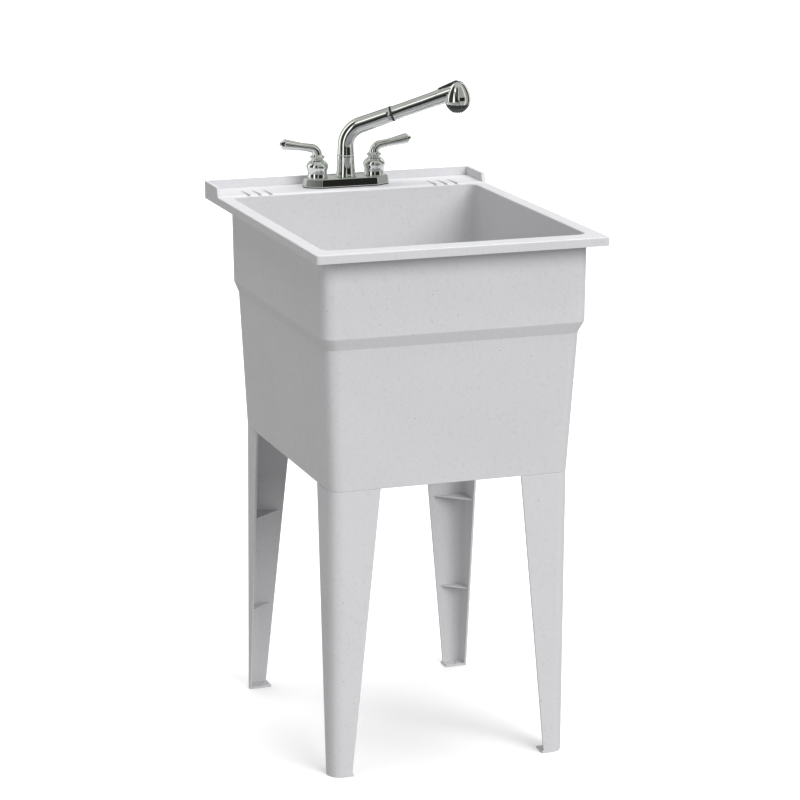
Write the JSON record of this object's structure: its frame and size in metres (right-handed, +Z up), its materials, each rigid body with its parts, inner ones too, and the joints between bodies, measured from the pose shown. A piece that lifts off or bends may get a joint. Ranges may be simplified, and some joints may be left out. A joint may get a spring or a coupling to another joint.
{
  "type": "utility laundry sink",
  "caption": "Free-standing laundry tub on tapered corner legs, with a centre-set faucet: lever handles, swinging spout and a pull-out spray wand.",
  "frame": {"origin": "on the floor, at the middle of the footprint's bounding box", "axes": "+X to the user's right, +Y away from the user towards the wall, +Z up"},
  "size_m": [0.478, 0.64, 1.0455],
  "materials": {
    "speckled_plastic": "satin pale grey with fine dark flecks",
    "chrome": "bright plated",
    "black_plastic": "semi-gloss",
    "spray_rubber": "soft matt grey",
    "black_rubber": "matt",
    "brass_cast": "as cast and turned",
    "stainless": "brushed",
    "screw_steel": "zinc plated",
    "nylon_white": "matt",
    "fibre": "matt fibre"
  },
  "bodies": {
    "sink": {"tub_basin": "speckled_plastic", "leg_front_left": "speckled_plastic", "leg_front_right": "speckled_plastic", "leg_rear_left": "speckled_plastic", "leg_rear_right": "speckled_plastic", "leg_screws": "screw_steel", "drain_strainer": "stainless", "drain_gasket": "black_rubber", "drain_washer": "fibre", "drain_locknut": "brass_cast", "tail_washer": "nylon_white", "tailpiece": "chrome", "slip_nut": "nylon_white", "faucet_base": "chrome", "base_gasket": "black_rubber", "waterway": "brass_cast", "spout_o_rings": "black_rubber", "mount_washers": "nylon_white", "mount_nuts": "brass_cast", "hot_cartridge": "brass_cast", "cold_cartridge": "brass_cast", "hot_bonnet": "chrome", "cold_bonnet": "chrome", "spout_collar": "chrome", "thrust_washer": "nylon_white"},
    "hot_lever": {"hot_handle": "chrome", "hot_stem": "brass_cast", "hot_set_screw": "screw_steel"},
    "cold_lever": {"cold_handle": "chrome", "cold_stem": "brass_cast", "cold_set_screw": "screw_steel"},
    "spout": {"spout_tube": "chrome", "dock_ring": "black_plastic"},
    "wand": {"wand_body": "chrome", "wand_shank": "nylon_white", "spray_bezel": "black_plastic", "spray_face": "spray_rubber"},
    "selector": {"spray_button": "black_plastic"},
    "stopper": {"drain_stopper": "black_rubber"}
  },
  "joints": [
    {"name": "hot_handle_turn", "type": "hinge", "parent": "sink", "child": "hot_lever", "pos_m": [-0.0508, 0.277, 0.92], "axis": [0, 0, 1], "range_deg": [0, 90]},
    {"name": "cold_handle_turn", "type": "hinge", "parent": "sink", "child": "cold_lever", "pos_m": [0.0508, 0.277, 0.92], "axis": [0, 0, 1], "range_deg": [-90, 0]},
    {"name": "spout_swivel", "type": "hinge", "parent": "sink", "child": "spout", "pos_m": [0, 0.277, 0.93], "axis": [0, 0, 1], "range_deg": [-178, 42]},
    {"name": "wand_pull", "type": "slide", "parent": "spout", "child": "wand", "axis": [0.8724, -0.3525, 0.3387], "range_m": [0, 0.12]},
    {"name": "selector_press", "type": "slide", "parent": "wand", "child": "selector", "axis": [0.3845, -0.1553, -0.91], "range_m": [0, 0.002], "stiffness_N_per_m": 600, "springref_m": -0.003},
    {"name": "stopper_lift", "type": "slide", "parent": "sink", "child": "stopper", "axis": [0, 0, 1], "range_m": [0, 0.12]}
  ]
}
